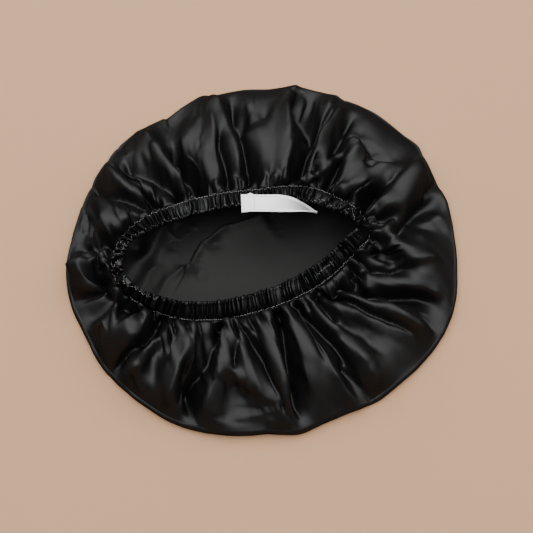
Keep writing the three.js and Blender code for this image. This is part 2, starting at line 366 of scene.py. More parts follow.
R, C, S = Relief.RIDGE, Relief.CREASE, Relief.SWELL
FOLD_ROWS = (  # kind, from (turn, out), by (turn, out), to (turn, out), lift mm, width mm, skew
    (C, -1, 0.20, 10, 0.52, 19, 0.93, -9.0, 6.5, -0.2),
    (R, 8, 0.70, 12, 0.86, 17, 1.00, 3.0, 3.0),
    (S, 6, 0.55, 7, 0.72, 9, 0.88, -3.0, 7.0),
    (R, 20, 0.16, 26, 0.45, 31, 0.92, 6.5, 6.5, -0.5),
    (C, 28, 0.34, 30.5, 0.64, 33.5, 1.00, -4.5, 2.6, 0.1),
    (C, 26, 0.01, 28, 0.18, 29.5, 0.42, -14.0, 5.0, 0.2),
    (R, 31, 0.02, 34.5, 0.18, 30.5, 0.38, 4.0, 2.2),
    (R, 36, 0.26, 40, 0.20, 43.5, 0.03, 3.5, 2.5),
    (C, 31, 0.60, 45, 0.585, 58, 0.62, -6.0, 4.5, 0.5),
    (R, 32, 0.56, 40, 0.545, 46, 0.53, 2.0, 3.0),
    (C, 38, 0.44, 42, 0.49, 46, 0.54, -4.0, 3.5),
    (R, 50, 0.03, 50, 0.33, 48.5, 0.50, 4.0, 2.6),
    (R, 49, 0.51, 53, 0.50, 56.5, 0.40, 2.5, 2.4),
    (C, 53, 0.03, 53, 0.25, 52, 0.44, -9.0, 3.4),
    (R, 55, 0.10, 56, 0.28, 57.5, 0.42, 3.5, 2.4),
    (C, 57.5, 0.24, 58.3, 0.52, 58, 0.86, -8.5, 4.0, 0.2),
    (R, 62.5, 0.88, 64, 0.50, 66.5, 0.03, 5.0, 2.4, -0.2),
    (C, 64.5, 0.88, 67.5, 0.40, 69.5, 0.01, -9.0, 3.6, 0.2),
    (R, 57, 0.12, 60, 0.26, 65.5, 0.27, 3.0, 2.6),
    (C, 60, 0.14, 62, 0.19, 63.5, 0.22, -5.0, 4.0),
    (R, 66.5, 0.99, 66.5, 0.82, 66.3, 0.60, 3.5, 3.0),
    (C, 77, 0.90, 73.5, 0.74, 67.5, 0.46, -12.0, 7.0, 0.2),
    (R, 79, 0.98, 79.5, 0.70, 75.3, 0.30, 5.0, 2.8, 0.3),
    (R, 75.3, 0.40, 75.2, 0.20, 74.5, 0.02, 4.0, 2.6, 0.3),
    (C, 79.6, 0.93, 79.7, 0.88, 79.5, 0.80, -3.5, 3.0),
    (C, 84, 0.70, 92, 0.61, 98, 0.70, -5.5, 7.0),
    (R, 82, 0.66, 92, 0.52, 98, 0.60, 2.5, 5.0),
    (C, 100.5, 0.93, 96.5, 0.47, 88.5, 0.00, -10.0, 4.2, -0.1),
    (R, 96.5, 0.12, 99, 0.56, 110.5, 0.99, 5.0, 3.4, 0.2),
    (C, 100.5, 0.02, 103, 0.30, 104, 0.55, -7.0, 3.0, 0.1),
    (R, 104, 0.10, 105.3, 0.45, 107.5, 0.76, 3.0, 2.2),
    (S, 108, 0.50, 111, 0.38, 115, 0.34, -3.0, 6.0),
    (R, 111, 0.80, 115, 0.64, 121, 0.58, 3.5, 4.5, 0.3),
    (S, 115, 0.95, 120, 0.74, 128, 0.86, -5.0, 14.0),
    (C, 123, 0.68, 120.5, 0.36, 113, 0.00, -13.0, 5.5),
    (R, 119.5, 0.08, 126, 0.42, 128, 0.67, 5.5, 4.0, 0.2),
    (R, 134.5, 1.00, 131, 0.78, 130, 0.46, 3.5, 3.2),
    (C, 143, 0.80, 136, 0.46, 124.5, 0.02, -8.0, 4.2, 0.1),
    (C, 146.7, 0.97, 142.5, 0.46, 134, 0.03, -6.0, 2.2, 0.2),
    (R, 150, 0.92, 146, 0.45, 136.5, 0.06, 3.5, 4.0),
    (C, 157.2, 0.96, 152.5, 0.50, 138, 0.02, -7.0, 2.8, -0.1),
    (S, 172, 0.90, 169, 0.72, 160, 0.48, -7.5, 9.0, 0.1),
    (R, 177.5, 0.75, 169, 0.44, 151, 0.03, 5.5, 4.6),
    (R, 155, 0.06, 165, 0.34, 168, 0.08, 3.5, 2.6),
    (C, 177, 0.86, 175.5, 0.50, 168.5, 0.01, -5.0, 4.0, -0.2),
    (C, 181.5, 0.88, 183.2, 0.66, 182, 0.42, -3.5, 2.0),
    (R, 186, 0.82, 185, 0.58, 180.5, 0.16, 3.5, 3.6, 0.4),
    (S, 192, 0.50, 191, 0.28, 189, 0.12, -8.5, 8.0),
    (C, 195, 0.99, 199, 0.66, 202.5, 0.08, -6.0, 2.6, -0.2),
    (R, 199, 0.66, 202, 0.25, 218, 0.15, 3.5, 2.8, 0.2),
    (S, 209, 0.84, 206.5, 0.58, 214, 0.30, -8.0, 7.0),
    (C, 213, 0.34, 218, 0.15, 222.5, 0.03, -8.0, 3.6),
    (C, 221.5, 0.99, 230, 0.57, 240.5, 0.03, -7.0, 2.8, -0.2),
    (R, 225, 0.97, 232, 0.56, 242.5, 0.10, 4.5, 2.8, 0.4),
    (R, 222, 0.18, 223, 0.32, 231, 0.50, 3.5, 2.6, 0.3),
    (S, 232, 0.66, 238, 0.44, 246, 0.18, -7.5, 4.6, 0.1),
    (R, 241, 0.92, 249, 0.50, 257, 0.05, 3.5, 2.6),
    (C, 246, 0.90, 251, 0.52, 254, 0.30, -4.0, 2.0),
    (C, 248, 0.92, 257, 0.53, 267.5, 0.04, -10.0, 3.8, -0.1),
    (R, 252, 0.97, 259, 0.52, 270.5, 0.02, 5.0, 4.2, 0.2),
    (S, 264, 0.88, 265, 0.74, 268, 0.60, -4.0, 11.0),
    (R, 254, 0.82, 266, 0.99, 278, 0.82, 3.0, 3.5),
    (C, 267, 0.52, 270, 0.32, 273, 0.06, -5.0, 2.4),
    (C, 279.3, 0.80, 278.5, 0.48, 276, 0.10, -6.0, 2.6),
    (R, 280, 0.97, 282, 0.56, 289, 0.05, 5.0, 4.2, 0.1),
    (C, 282, 0.94, 286, 0.58, 292, 0.02, -10.0, 3.6),
    (R, 287, 0.80, 290.5, 0.46, 296, 0.04, 3.5, 3.0),
    (R, 284, 0.84, 293, 0.97, 302, 0.88, 2.5, 3.5),
    (C, 297, 0.62, 297.3, 0.36, 297.8, 0.03, -4.5, 2.0),
    (R, 296.8, 0.40, 301, 1.02, 305.2, 0.42, 3.5, 2.8),
    (C, 303.2, 0.78, 303.4, 0.46, 303, 0.03, -7.0, 2.6),
    (C, 311, 0.40, 311.3, 0.24, 311.5, 0.02, -5.0, 2.2),
    (S, 316, 0.72, 314, 0.54, 310, 0.36, -5.0, 6.0),
    (C, 300, 0.66, 303, 0.84, 304.5, 1.00, -6.0, 3.6, -0.2),
    (R, 309, 0.56, 308, 0.76, 306, 0.95, 4.0, 5.0, 0.3),
    (C, 278.5, 0.74, 280, 0.88, 281, 1.00, -5.0, 3.2),
    (C, 249.5, 0.78, 251.5, 0.90, 253, 1.00, -5.0, 3.2),
    (C, 334, 0.74, 333, 0.88, 332, 1.00, -4.5, 3.6),
    (C, 214, 0.70, 212, 0.86, 210.5, 1.00, -5.0, 3.6),
    (C, 232, 0.78, 229.5, 0.90, 227, 1.00, -4.5, 3.4),
    (C, 20, 0.72, 21, 0.86, 22, 1.00, -5.0, 4.0),
    (C, 66, 0.80, 64.5, 0.90, 63, 1.00, -4.5, 3.4),
    (C, 140, 0.78, 141, 0.90, 142, 1.00, -4.5, 3.4),
    (R, 328.5, 0.90, 321, 0.46, 313.5, 0.10, 4.0, 2.6),
    (C, 328, 0.84, 323, 0.52, 315.5, 0.02, -9.0, 3.2),
    (R, 330.5, 0.92, 326, 0.52, 318, 0.06, 4.0, 2.8, 0.2),
    (C, 327, 0.46, 325, 0.30, 321, 0.02, -6.0, 2.8),
    (R, 331, 0.88, 337, 1.02, 343.5, 0.84, 3.0, 3.0),
    (C, 341.5, 0.86, 335, 0.52, 327.5, 0.04, -10.0, 4.0, 0.1),
    (R, 343.5, 0.90, 338.5, 0.58, 331, 0.24, 3.5, 3.0, 0.2),
    (C, 348, 0.56, 343, 0.32, 336, 0.03, -8.0, 4.0, 0.2),
    (R, 355, 0.78, 348, 0.46, 340.5, 0.16, 4.0, 3.6, 0.5),
    (S, 356, 0.28, 352, 0.16, 348, 0.06, -7.0, 8.0),
    (R, 3, 0.04, 4, 0.22, 12, 0.25, 4.5, 3.4),
    (R, 12, 0.25, 22, 0.20, 19, 0.04, 4.5, 3.4),
    (S, 9, 0.11, 12, 0.12, 15, 0.11, -4.0, 4.5),
)
FOLDS = tuple(Fold(*row) for row in FOLD_ROWS)


@dataclass
class CrownShape:
    """The crown's outer face as a function of turn and of the way along the cloth."""

    plan: Plan
    seam: float = SEAM_HEIGHT
    crest: float = 0.0425  # height of the puff, without folds
    crest_out: float = 0.27  # how far out it is highest
    rim: float = 0.0038  # half the height at which the cloth turns under
    gathers: int = 56  # loops along the seam
    depth: float = 2.4  # how many times its listed lift a fold starts with, before settling
    floor_rise: float = 0.0105  # how high the cloth inside lies on the -X side of its edge
    seam_hold: float = 0.04  # how far out a fold first has its full lift
    shoulder: Array = field(default_factory=lambda: ring_curve(SHOULDER_ROWS, 3.0))
    lip: Array = field(default_factory=lambda: ring_curve(LIP_ROWS, 3.0))
    loops: Array = field(default_factory=lambda: ring_curve(LOOP_ROWS, 3.0))

    def top_height(self, turn: Array, out: Array) -> Array:
        """Height of the top without folds: a sine up to the crest, then a fall to the lip.

        The fall is a^p, with a the share of the way from the crest to the lip and p from the
        shoulder table: 1 falls at once, 2 stays high and falls late. Where the lip table says
        so, smoothstep(a^p) is mixed in, which gets level before the outline.

        Args:
            turn: degrees.
            out: 0 at the seam, 1 at the lip.

        Returns:
            Heights in metres.
        """
        rise = self.seam + (self.crest - self.seam) * np.sin(
            0.5 * math.pi * np.clip(out / self.crest_out, 0, 1)
        )
        away = np.clip((out - self.crest_out) / (1 - self.crest_out), 0, 1)
        power = read_ring(self.shoulder, turn)
        level = read_ring(self.lip, turn)
        fall = 1.0 - (level * smooth(away**power) + (1 - level) * away**power)
        lip = 2 * self.rim
        return np.where(out < self.crest_out, rise, lip + (self.crest - lip) * fall)

    def fold_lift(self, turn: Array, out: Array) -> Array:
        """Sum of the folds' lifts: each fades with the distance from its curve.

        Across a fold the lift is exp(r - sqrt((s / width)^2 + r^2)), so a small r gives a sharp
        line. Along it the lift eases in and out at each end, unless the fold runs into the seam
        or over the outline. Over the last 0.12 before the outline every lift sinks to 0.4 of it.

        Args:
            turn: degrees, on a grid.
            out: 0 to 1, on the same grid.

        Returns:
            Lifts in metres.
        """
        total = np.zeros(turn.shape)
        for fold in FOLDS:
            near, distance, ends = self.from_fold(fold, turn, out)
            r = fold.kind.value
            across = np.exp(r - np.sqrt((distance / FOLD_SPREAD) ** 2 + r**2))
            total[near] += self.depth * fold.lift * MM * across * ends
        return total * (1 - 0.6 * smooth((out - 0.88) / 0.12))

    def calm(self, turn: Array, out: Array) -> Array:
        """How smooth the panels stay: exp(-(turns off^4 + outs off^4)) for each, the largest."""
        total = np.zeros(turn.shape)
        for at, place, wide, deep, share in CALM_ROWS:
            off = (np.mod(turn - at + 180.0, 360.0) - 180.0) / wide
            total = np.maximum(total, share * np.exp(-(off**4) - ((out - place) / deep) ** 4))
        return total

    def creased(self, turn: Array, out: Array) -> Array:
        """How folded the cloth is: exp(-(s / 3 widths)^2) for each fold, summed by its lift."""
        total = np.zeros(turn.shape)
        for fold in FOLDS:
            near, distance, ends = self.from_fold(fold, turn, out)
            total[near] += abs(fold.lift) / 6.0 * np.exp(-((distance / 3.0) ** 2)) * ends
        return total

    def from_fold(self, fold: Fold, turn: Array, out: Array) -> tuple[Array, Array, Array]:
        """Where the cloth is near a fold, its distance in the fold's widths, and the ends' ease.

        The fold's curve is a parabola through its three places.

        Args:
            fold: the fold.
            turn: degrees, on a grid.
            out: 0 to 1, on the same grid.

        Returns:
            A mask of the grid, and two arrays for the points in it.
        """
        here = self.plan.place(turn, self.share(turn, out))
        u = np.linspace(0.0, 1.0, 25)
        weight = np.stack([(1 - u) * (1 - 2 * u), 4 * u * (1 - u), u * (2 * u - 1)])
        turns = np.array([fold.from_turn, fold.by_turn, fold.to_turn]) @ weight
        outs = np.array([fold.from_out, fold.by_out, fold.to_out]) @ weight
        line = self.plan.place(turns, outs)
        middle = line.mean(0)
        radius = np.linalg.norm(line - middle, axis=1).max() + 10 * fold.width * MM
        near = np.linalg.norm(here - middle, axis=-1) < radius
        points = here[near]
        step = np.diff(line, axis=0)
        gap = points[:, None] - line[None, :-1]
        share = np.clip((gap * step).sum(-1) / (step**2).sum(-1), 0, 1)
        off = gap - share[..., None] * step
        distance = np.linalg.norm(off, axis=-1)
        best = distance.argmin(1)
        pick = np.arange(len(points))
        along = (best + share[pick, best]) / (len(u) - 1)
        # The side is told with the curve taken outwards, so it is the same whichever way it runs.
        side = step[best, 0] * off[pick, best, 1] - step[best, 1] * off[pick, best, 0]
        side = np.sign(side) * np.sign(((line[-1] - line[0]) * (line[-1] + line[0])).sum() + 1e-9)
        width = fold.width * MM * (1 + fold.skew * side)
        ends = np.ones(along.shape)
        for place, gone in ((fold.from_out, along), (fold.to_out, 1 - along)):
            if OPEN_ENDS[0] < place < OPEN_ENDS[1]:
                ends = ends * smooth(gone / EASE)
        return near, distance[pick, best] / width, ends

    def gather_lift(self, turn: Array, out: Array) -> Array:
        """Small loops that the seam gathers, each with its own height and reach outwards.

        A loop is |sin|^0.65 across and rises from the seam in a quarter circle. Beyond its front
        it fades as exp(-s^1.6), after a low dip. Loops lean by up to 9 degrees, so that they run
        into the folds beyond them, and they are lower about turn 150.

        Args:
            turn: degrees, on a grid.
            out: 0 to 1, on the same grid.

        Returns:
            Lifts in metres.
        """
        steps = uneven_steps(self.gathers, spread=0.42, seed=11)
        rng = np.random.default_rng(5)
        height = rng.uniform(5.5, 9.5, self.gathers) * MM
        reach = rng.uniform(0.6, 1.3, self.gathers)
        front = rng.uniform(7.0, 12.5, self.gathers) * MM
        # The loops are laid out by length along the seam, not by turn.
        even = np.interp(np.mod(turn, 360.0), self.plan.turn_at_length(720), np.arange(720) * 0.5)
        lean = 9.0 * out * np.sin(np.radians(2.0 * (turn - 105.0)))
        number, across = pleat_place(steps, even + lean)
        loop = np.abs(np.sin(math.pi * across)) ** 0.65
        length = self.plan.across(turn)
        gone = out * length
        front = np.minimum(front[number] * (0.3 + 0.7 * loop), 0.2 * length)
        rise = np.sqrt(1.0 - (1.0 - np.clip(gone / front, 0, 1)) ** 2)
        fade = 0.8 * reach[number] * read_ring(self.loops, turn) * length
        beyond = np.clip(gone - front, 0, None) / fade
        show = 1.0 - 0.6 * smooth(1.0 - np.abs(turn - 150.0) / 25.0)
        dip = 0.28 * bump((gone - front) / MM, 8.0, 5.0)
        return show * height[number] * ((loop - 0.4) * rise * np.exp(-(beyond**1.6)) - dip)

    def top(self, turn: Array, out: Array) -> Array:
        """Points of the top: the folds lift them along the puff's own normal.

        Args:
            turn: degrees, on a grid.
            out: 0 to 1, on the same grid.

        Returns:
            Points, one more axis of 3.
        """
        plan = self.plan.place(turn, self.share(turn, out))
        z = self.top_height(turn, out)
        outward = unit(self.plan.rim(turn) - self.plan.mouth(turn))
        step = 2e-3
        before, beyond = np.clip(out - step, 0, 1), np.clip(out + step, 0, 1)
        slope = self.top_height(turn, beyond) - self.top_height(turn, before)
        slope /= self.plan.across(turn) * (beyond - before)
        flat = 1.0 / np.sqrt(1.0 + slope**2)
        past = out > self.crest_out
        lean = np.where(past, -slope * flat, 0.0) * (1 - 0.8 * smooth((out - 0.7) / 0.3))
        upright = np.where(past, flat, 1.0)
        wander = ripples(plan[..., 0], plan[..., 1], 0.034, 3) * 0.4 * MM * smooth(out / 0.2)
        lift = (self.fold_lift(turn, out) + wander) * smooth(out / self.seam_hold)
        plan = plan + outward * (lift * lean)[..., None]
        return np.concatenate([plan, (z + lift * upright)[..., None]], -1)

    def share(self, turn: Array, out: Array) -> Array:
        """The share of the way from seam to outline, where out counts only as far as the lip."""
        return out * (1.0 - self.rim / self.plan.across(turn))

    def under(self, turn: Array, roll: Array) -> Array:
        """Points from the lip round to the surface below: half an ellipse about the rim.

        Args:
            turn: degrees, on a grid.
            roll: 0 at the lip, 1 where the cloth meets the surface.

        Returns:
            Points, one more axis of 3.
        """
        edge = self.top(turn, np.ones(turn.shape))
        angle = math.pi * roll
        outward = unit(self.plan.rim(turn))
        flat = self.plan.rim(turn) - outward * self.rim
        share = 0.5 * (1.0 - np.cos(angle))
        plan = edge[..., :2] + (flat - edge[..., :2]) * share[..., None]
        plan = plan + outward * (self.rim * np.sin(angle))[..., None]
        return np.concatenate([plan, (edge[..., 2] * (1.0 - share))[..., None]], -1)

    def floor(self, turn: Array, share: Array) -> Array:
        """Points of the part that lies underneath, with the soft folds seen through the mouth.

        The rings go in from the rim to a line just outside the mouth's, and then shrink with the
        mouth's own shape to a point among the folds, so they lie close together there.

        Args:
            turn: degrees, on a grid.
            share: 1 at the rim, 0.5 at the mouth's line, 0 at the point.

        Returns:
            Points, one more axis of 3.
        """
        rim = self.plan.rim(turn)
        rim = rim - unit(rim) * self.rim
        centre, middle = np.array(self.plan.centre), np.array(FLOOR_MIDDLE) * MM
        mouth = centre + (self.plan.mouth(turn) - centre) * 1.04
        outer = np.clip(2 * share - 1, 0, 1)[..., None]
        inner = (np.clip(2 * share, 0, 1) ** 1.4)[..., None]
        plan = middle + (mouth - middle) * inner + (rim - mouth) * outer
        x, y = plan[..., 0], plan[..., 1]
        lift = self.floor_lift(x, y) * smooth((1.0 - share) / 0.5)
        return np.stack([x, y, lift], -1)

    def floor_lift(self, x: Array, y: Array) -> Array:
        """Height of the cloth inside: a low rise that ends at one line, with folds and dents.

        A fold is exp(0.2 - sqrt((s / width)^2 + 0.2^2)) across, and a dent a Gaussian hollow.

        Args:
            x: metres.
            y: metres.

        Returns:
            Heights in metres, none below 0.
        """
        distance, side = from_line(FLOOR_EDGE, x, y)
        total = self.floor_rise * smooth(0.5 - side * distance / 0.016)
        total = total + 3.5 * MM * np.exp(-distance / (4.0 * MM)) + 0.6 * MM * ripples(x, y, 0.05, 21)
        for places, lift, left, right in FLOOR_FOLDS:
            distance, side = from_line(places, x, y)
            width = np.where(side > 0, left, right) * MM
            total = total + lift * MM * np.exp(0.2 - np.sqrt((distance / width) ** 2 + 0.04))
        for at_x, at_y, lift, width in FLOOR_DENTS:
            away = np.hypot(x - at_x * MM, y - at_y * MM) / (width * MM)
            total = total + lift * MM * np.exp(-(away**2))
        return np.maximum(total, 0.0)


def from_line(places: tuple[tuple[float, float], ...], x: Array, y: Array) -> tuple[Array, Array]:
    """Distance from a line through several places, and which side of it each point is on.

    Args:
        places: (x, y) pairs in mm.
        x: metres.
        y: metres.

    Returns:
        Distances in metres, and 1 to the left of the line's direction or -1 to the right.
    """
    line = np.array(places) * MM
    best = np.full(x.shape, 9.0)
    side = np.ones(x.shape)
    for a, b in zip(line[:-1], line[1:]):
        step = b - a
        share = np.clip(((x - a[0]) * step[0] + (y - a[1]) * step[1]) / (step @ step), 0, 1)
        off_x, off_y = x - a[0] - share * step[0], y - a[1] - share * step[1]
        distance = np.hypot(off_x, off_y)
        nearer = distance < best
        best = np.where(nearer, distance, best)
        side = np.where(nearer, np.sign(step[0] * off_y - step[1] * off_x + 1e-12), side)
    return best, side


FLOOR_MIDDLE = (-52.0, 2.0)  # mm, where the floor's rings close
FLOOR_EDGE = ((-84, 44), (-93, 16), (-103, -13), (-116, -34))  # mm; lower on its +X side
FLOOR_FOLDS = (  # line in mm, lift in mm, how wide in mm to the left and to the right of it
    (((0, 37), (-9, 33), (-23, 28), (-31, 26), (-41, 18), (-54, 9), (-66, -15)), 12.0, 6.5, 2.5),
    (((-2, 42), (-12, 38), (-26, 33), (-36, 31), (-47, 23), (-59, 11), (-67, -8)), -19.0, 4.0, 5.5),
    (((-59, 24), (-63, 3), (-70, -13)), 5.0, 2.4, 6.0),
    (((-50, 26), (-40, 31), (-34, 36)), 4.0, 3.0, 3.0),
    (((-82, 18), (-76, 13), (-68, 19)), 2.2, 3.5, 3.5),
    (((8, 34), (16, 25), (27, 12), (41, 2)), -6.5, 4.0, 3.0),
    (((3, 30), (14, 17), (30, 2)), 1.5, 5.0, 5.0),
    (((41, 11), (50, 3), (57, -4)), -1.5, 4.0, 3.0),
    (((-72, -16), (-84, -26), (-90, -40)), 3.0, 4.0, 5.0),
    (((-84, 30), (-92, 12), (-98, 0), (-106, -12)), 4.0, 6.0, 4.0),
)  # fmt: skip
FLOOR_DENTS = (  # x, y, lift and width, all mm
    (-76, 21, -6.0, 5.0), (-80, 9, -4.0, 6.0), (-98, -19, -6.0, 7.0), (-112, 2, -9.0, 9.0),
    (-55, -21, -3.0, 6.0), (-56, -6, -2.5, 5.0), (-43, 10, -4.5, 7.0), (74, 14, -5.0, 12.0),
    (-86, -6, 1.5, 12.0),
)  # fmt: skip


# ---- settling --------------------------------------------------------------------------------
class Pass(NamedTuple):
    """One round of settling, on every stride-th column and every skip-th row."""

    stride: int
    skip: int
    growth: float  # how much longer each ring's cloth is than its place
    fade: float  # how far out that excess reaches
    hold: float  # pull back towards the drawn shape, a share a sweep
    bend: float  # how stiff the cloth is
    sweeps: int


PASSES = (
    Pass(4, 3, 0.17, 1.5, 0.0035, 0.008, 190),
    Pass(2, 2, 0.12, 0.8, 0.0070, 0.004, 120),
    Pass(1, 1, 0.05, 0.25, 0.0200, 0.0015, 60),
)


@dataclass
class Settling:
    """Lets a gathered ring of cloth settle: its rings are longer than the room they have.

    Each sweep carries the last motion on, pushes the cloth out from inside, bends it straight,
    puts every edge back to its own length, and pulls a little towards the drawn shape. The
    rings' own lengths grow over the first part of the sweeps, so the excess gathers into folds
    that run outwards. It is done on a coarse grid first, then on finer ones.
    """

    passes: tuple[Pass, ...] = PASSES
    push: float = 3e-6  # from inside, in metres a sweep
    bend_out: float = 2.0  # how much stiffer the cloth is along the folds
    shear: float = 0.15  # how fast the cells go back to square, a share a sweep
    taut: float = 0.99  # outward rest lengths, against those drawn
    carry: float = 0.9  # the share of the last motion that goes on
    cap: float = 3e-4  # the most a point moves on by itself, in metres a sweep
    lowest: float = 0.0006  # no point sinks below this height
    panel_hold: float = 4.0  # how much more firmly smooth panels are held than folds
    edge_hold: float = 0.04  # how much more firmly the last tenth before the lip is held
    growing: float = 0.7  # the share of the sweeps over which the rings grow
    tiny: float = 1e-7  # keeps a division by an edge's length safe

    def pull(self, first: Array, second: Array, rest: Array) -> None:
        """Moves both ends of each edge along it, half each, until it has its rest length.

        Args:
            first: (rows, columns, 3) view of the points at one end, changed in place.
            second: the same for the other end.
            rest: the edges' rest lengths.
        """
        edge = second - first
        length = np.sqrt((edge * edge).sum(-1))
        edge *= (0.5 * (1.0 - rest / np.maximum(length, self.tiny)))[..., None]
        first += edge
        second -= edge

    def lengths(self, x: Array, rest_round: Array, rest_out: Array) -> Array:
        """Restores edge lengths round and outwards, on even and odd edges in turn.

        Args:
            x: (rows, columns, 3) points.
            rest_round: rest lengths of the edges round the rings.
            rest_out: rest lengths of the edges between rings.

        Returns:
            The points.
        """
        self.pull(x[:, 0::2], x[:, 1::2], rest_round[:, 0::2])
        x = np.roll(x, -1, 1)
        self.pull(x[:, 0::2], x[:, 1::2], np.roll(rest_round, -1, 1)[:, 0::2])
        x = np.roll(x, 1, 1)
        for start in (0, 1):
            end = start + (len(x) - start) // 2 * 2
            self.pull(x[start:end:2], x[start + 1 : end : 2], rest_out[start : end - 1 : 2])
        return x

    def straighten(self, x: Array, bend: float) -> None:
        """Bends the cloth straighter: takes off a share of the fourth difference, both ways."""
        second = np.roll(x, 1, 1) + np.roll(x, -1, 1) - 2 * x
        x -= bend * (np.roll(second, 1, 1) + np.roll(second, -1, 1) - 2 * second)
        second = np.zeros_like(x)
        second[1:-1] = x[2:] + x[:-2] - 2 * x[1:-1]
        x[2:-2] -= bend * self.bend_out * (second[3:-1] + second[1:-3] - 2 * second[2:-2])

    def square(self, x: Array, rest: tuple[Array, Array]) -> None:
        """Keeps the cells square: pulls both diagonals of each towards their rest lengths."""
        beside = np.roll(x, -1, 1)
        for number, (a, b) in enumerate(((x[:-1], beside[1:]), (beside[:-1], x[1:]))):
            edge = b - a
            length = np.sqrt((edge * edge).sum(-1))
            excess = 1.0 - rest[number] / np.maximum(length, self.tiny)
            edge *= (0.25 * self.shear * excess)[..., None]
            x[:-1] += edge if number == 0 else np.roll(edge, 1, 1)
            x[1:] -= np.roll(edge, 1, 1) if number == 0 else edge

    def outward(self, x: Array) -> Array:
        """Each point's unit normal, from its neighbours' differences."""
        along = np.zeros_like(x)
        along[1:-1] = x[2:] - x[:-2]
        return unit(np.cross(along, np.roll(x, -1, 1) - np.roll(x, 1, 1)))

    def settle(self, drawn: Array, growth: Array, hold: Array, push: Array, one: Pass) -> Array:
        """One round of sweeps on one grid.

        Args:
            drawn: (rows, columns, 3) points of the shape as drawn.
            growth: how many times longer each ring's edges become.
            hold: pull back, for each point.
            push: push from inside, for each point, in metres a sweep.
            one: the round.

        Returns:
            The settled points; the first and last rings stay where they were.
        """
        drawn = drawn.astype(np.float32)
        x, motion = drawn.copy(), np.zeros_like(drawn)
        beside = np.roll(x, -1, 1)
        rest_round = np.linalg.norm(beside - x, axis=-1)
        rest_out = np.linalg.norm(x[1:] - x[:-1], axis=-1) * self.taut
        pairs = ((x[:-1], beside[1:]), (beside[:-1], x[1:]))
        diagonals = tuple(np.linalg.norm(b - a, axis=-1) for a, b in pairs)
        hold = hold[..., None].astype(np.float32)
        push = push[..., None].astype(np.float32)
        growth = growth.astype(np.float32)
        for sweep in range(one.sweeps):
            grown = min(1.0, sweep / (self.growing * one.sweeps))
            now = rest_round * (1.0 + (growth - 1.0) * grown)
            before = x.copy()
            x += self.carry * motion + push * self.outward(x)
            self.straighten(x, one.bend)
            for _ in range(2):
                x = self.lengths(x, now, rest_out)
                x[0], x[-1] = drawn[0], drawn[-1]
            self.square(x, diagonals)
            x += hold * (drawn - x)
            x[..., 2] = np.maximum(x[..., 2], self.lowest)
            x[0], x[-1] = drawn[0], drawn[-1]
            motion = np.clip(x - before, -self.cap, self.cap)
        return x

    def thin_out(self, x: Array, stride: int, rows: Array) -> Array:
        """The cloth on every stride-th column, softened round the rings first.

        Args:
            x: (rows, columns, 3) points.
            stride: how many columns become one.
            rows: indices of the rows kept.

        Returns:
            The coarser points.
        """
        waves = np.fft.rfft(x, axis=1)[:, : x.shape[1] // stride // 2 + 1]
        share = np.linspace(0.0, 1.0, waves.shape[1])
        waves = waves * np.exp(-((share / 0.75) ** 4))[None, :, None]
        return np.fft.irfft(waves, x.shape[1] // stride, axis=1)[rows] / stride

    def spread(self, shift: Array, stride: int, rows: Array, stations: Array) -> Array:
        """A coarse grid's shift on the fine grid: waves round, cubic Hermite curves outwards.

        Args:
            shift: (kept rows, columns / stride, 3).
            stride: how many fine columns each one stands for.
            rows: indices of the kept rows.
            stations: every row's place along the cloth.

        Returns:
            (rows, columns, 3) shifts.
        """
        waves = np.fft.rfft(shift, axis=1)
        wide = np.zeros((shift.shape[0], shift.shape[1] * stride // 2 + 1, 3), complex)
        wide[:, : waves.shape[1]] = waves
        round_it = np.fft.irfft(wide, shift.shape[1] * stride, axis=1) * stride
        kept = stations[rows]
        slope = np.gradient(round_it, kept, axis=0)
        low = np.clip(np.searchsorted(kept, stations, side="right") - 1, 0, len(kept) - 2)
        gap = (kept[low + 1] - kept[low])[:, None, None]
        s = (stations - kept[low])[:, None, None] / gap
        ends = (1 - 3 * s**2 + 2 * s**3) * round_it[low] + (3 * s**2 - 2 * s**3) * round_it[low + 1]
        return ends + gap * ((s - 2 * s**2 + s**3) * slope[low] + (s**3 - s**2) * slope[low + 1])

    def run(self, x: Array, detail: Array, stations: Array, creased: Array) -> Array:
        """All the rounds, coarse to fine.

        Args:
            x: (rows, columns, 3) points from the seam outwards and round the edge.
            detail: lifts too fine for the coarse grids, added upwards before the last round.
            stations: each row's place: 0 at the seam, 1 at the lip, 2 on the surface below.
            creased: 0 on smooth panels to 1 along folds, on the same grid.

        Returns:
            The settled points.
        """
        for one in self.passes:
            if one is self.passes[-1]:
                x = x + detail[..., None] * np.array([0.0, 0.0, 1.0])
            rows = np.unique(np.append(np.arange(0, len(x), one.skip), len(x) - 1))
            drawn = self.thin_out(x, one.stride, rows) if one.stride > 1 else x
            out = stations[rows][:, None] * np.ones((1, drawn.shape[1]))
            where = creased[rows][:, :: one.stride]
            excess = one.growth * np.exp(-out / one.fade) * where * smooth((1.0 - out) / 0.12)
            plain = 1.0 - np.clip(1.2 * where, 0, 1)
            hold = one.hold * (1.0 + self.panel_hold * plain**2)
            hold = hold + self.edge_hold * smooth((out - 0.9) / 0.1)
            push = np.where(out < 0.97, self.push, 0.0)
            settled = self.settle(drawn, 1.0 + excess, hold, push, one)
            shift = settled - drawn
            x = x + (self.spread(shift, one.stride, rows, stations) if one.stride > 1 else shift)
            LOG.info("settling: stride %d, mean shift %.1f mm", one.stride, np.abs(shift).mean() / MM)
        return x


